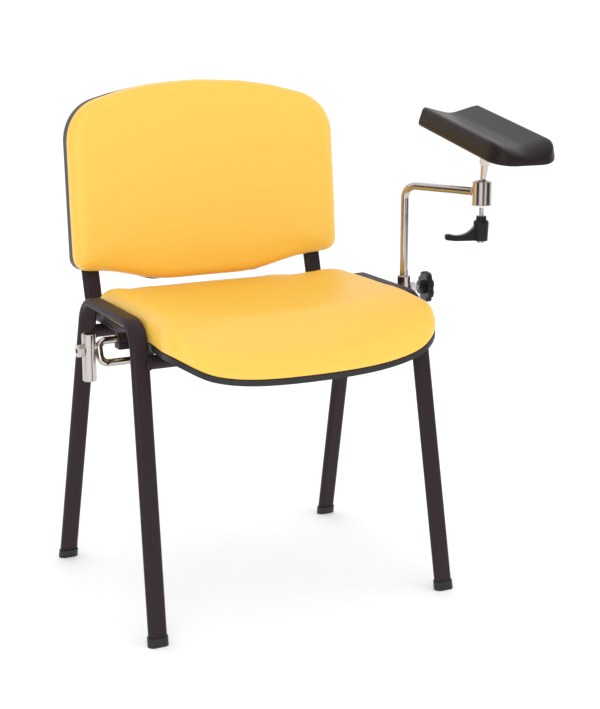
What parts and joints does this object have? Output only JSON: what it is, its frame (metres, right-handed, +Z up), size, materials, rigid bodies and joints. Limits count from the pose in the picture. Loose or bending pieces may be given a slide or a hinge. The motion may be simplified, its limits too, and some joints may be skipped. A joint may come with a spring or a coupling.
{
  "type": "blood-sampling chair",
  "caption": "Four-leg side chair with padded seat and back and one swivelling, tilting, height-adjustable arm rest on a side socket.",
  "frame": {"origin": "on the floor, midway between the two side frames and near the middle of the four feet", "axes": "+Z up, +X towards the sitter's left, where the arm rest is; the chair faces -Y"},
  "size_m": [0.7286, 0.5447, 0.8229],
  "materials": {
    "frame_paint": "satin dark brown-black powder coat on steel tube",
    "black_plastic": "fine-grained injection-moulded black plastic",
    "plywood": "raw birch plywood",
    "foam": "open-cell seat foam",
    "vinyl": "smooth yellow wipe-clean upholstery vinyl",
    "zinc_steel": "bright zinc plate",
    "chrome": "polished chrome plate",
    "brass": "turned brass",
    "white_nylon": "white nylon",
    "grey_plastic": "pale grey moulded plastic",
    "pad_foam": "black self-skinned moulded polyurethane with a satin sheen"
  },
  "bodies": {
    "root": {"back_board": "plywood", "back_cover": "vinyl", "back_foam": "foam", "back_nuts": "zinc_steel", "back_screws": "zinc_steel", "back_shell": "black_plastic", "bracket_screws": "zinc_steel", "front_cross_tube": "frame_paint", "left_back_support": "frame_paint", "left_bracket_mount": "frame_paint", "left_front_foot": "black_plastic", "left_leg_frame": "frame_paint", "left_rear_foot": "black_plastic", "left_socket": "chrome", "left_socket_nut": "chrome", "left_u_bracket": "chrome", "rear_cross_tube": "frame_paint", "right_back_support": "frame_paint", "right_bracket_mount": "frame_paint", "right_front_foot": "black_plastic", "right_leg_frame": "frame_paint", "right_rear_foot": "black_plastic", "right_socket": "chrome", "right_socket_nut": "chrome", "right_u_bracket": "chrome", "seat_board": "plywood", "seat_cover": "vinyl", "seat_foam": "foam", "seat_nuts": "zinc_steel", "seat_pan": "black_plastic", "seat_screws": "zinc_steel", "support_plugs": "black_plastic"},
    "post_collar": {"post_washer": "zinc_steel"},
    "swing_arm": {"arm_post": "chrome", "post_clip": "zinc_steel", "clamp_housing": "chrome", "housing_plug": "zinc_steel", "clamp_washer": "white_nylon"},
    "ball_pan": {"pressure_cup": "white_nylon"},
    "ball_tilt": {"ball_liner": "white_nylon"},
    "arm_rest": {"ball_stud": "chrome", "pad_boss": "grey_plastic", "pad_core": "plywood", "arm_pad": "pad_foam", "pad_screws": "zinc_steel"},
    "clamp_feed": {"thrust_pad": "brass"},
    "clamp_spindle": {"clamp_screw": "zinc_steel", "lever_cap_screw": "zinc_steel", "lever_spring": "zinc_steel"},
    "lever": {"clamp_lever": "black_plastic"},
    "lock_feed": {"lock_tip": "brass"},
    "lock_handle": {"lock_stud": "zinc_steel", "lock_knob": "black_plastic"}
  },
  "joints": [
    {"name": "post_height", "type": "slide", "parent": "root", "child": "post_collar", "axis": [0, 0, 1], "range_m": [-0.06, 0.044]},
    {"name": "arm_swivel", "type": "hinge", "parent": "post_collar", "child": "swing_arm", "pos_m": [0.284, -0.018, 0.421], "axis": [0, 0, 1], "range_deg": [-45, 100]},
    {"name": "rest_pan", "type": "hinge", "parent": "swing_arm", "child": "ball_pan", "pos_m": [0.351, -0.151, 0.6525], "axis": [0, 0, 1], "range_deg": [-90, 90]},
    {"name": "rest_tilt", "type": "hinge", "parent": "ball_pan", "child": "ball_tilt", "pos_m": [0.351, -0.151, 0.6525], "axis": [0.9976, -0.0698, 0], "range_deg": [-26, 9]},
    {"name": "rest_roll", "type": "hinge", "parent": "ball_tilt", "child": "arm_rest", "pos_m": [0.351, -0.151, 0.6525], "axis": [0.069, 0.9866, 0.1478], "range_deg": [-12, 12]},
    {"name": "clamp_screw_feed", "type": "slide", "parent": "swing_arm", "child": "clamp_feed", "axis": [0, 0, 1], "range_m": [-0.000937, 0]},
    {"name": "clamp_lever_turn", "type": "hinge", "parent": "clamp_feed", "child": "clamp_spindle", "pos_m": [0.351, -0.151, 0.6525], "axis": [0, 0, 1], "range_deg": [-270, 0]},
    {"name": "clamp_lever_lift", "type": "slide", "parent": "clamp_spindle", "child": "lever", "axis": [0, 0, -1], "range_m": [0, 0.004], "stiffness_N_per_m": 1500, "deforming": ["lever_spring"]},
    {"name": "lock_screw_feed", "type": "slide", "parent": "root", "child": "lock_feed", "axis": [0.9848, -0.1736, 0], "range_m": [0, 0.00187]},
    {"name": "lock_knob_turn", "type": "hinge", "parent": "lock_feed", "child": "lock_handle", "pos_m": [0.284, -0.018, 0.474], "axis": [0.9848, -0.1736, 0], "range_deg": [0, 540]}
  ],
  "couplings": [
    {"joint": "clamp_lever_turn", "follows": "clamp_screw_feed", "rad_per_m": 5026.5},
    {"joint": "lock_knob_turn", "follows": "lock_screw_feed", "rad_per_m": 5026.5}
  ]
}
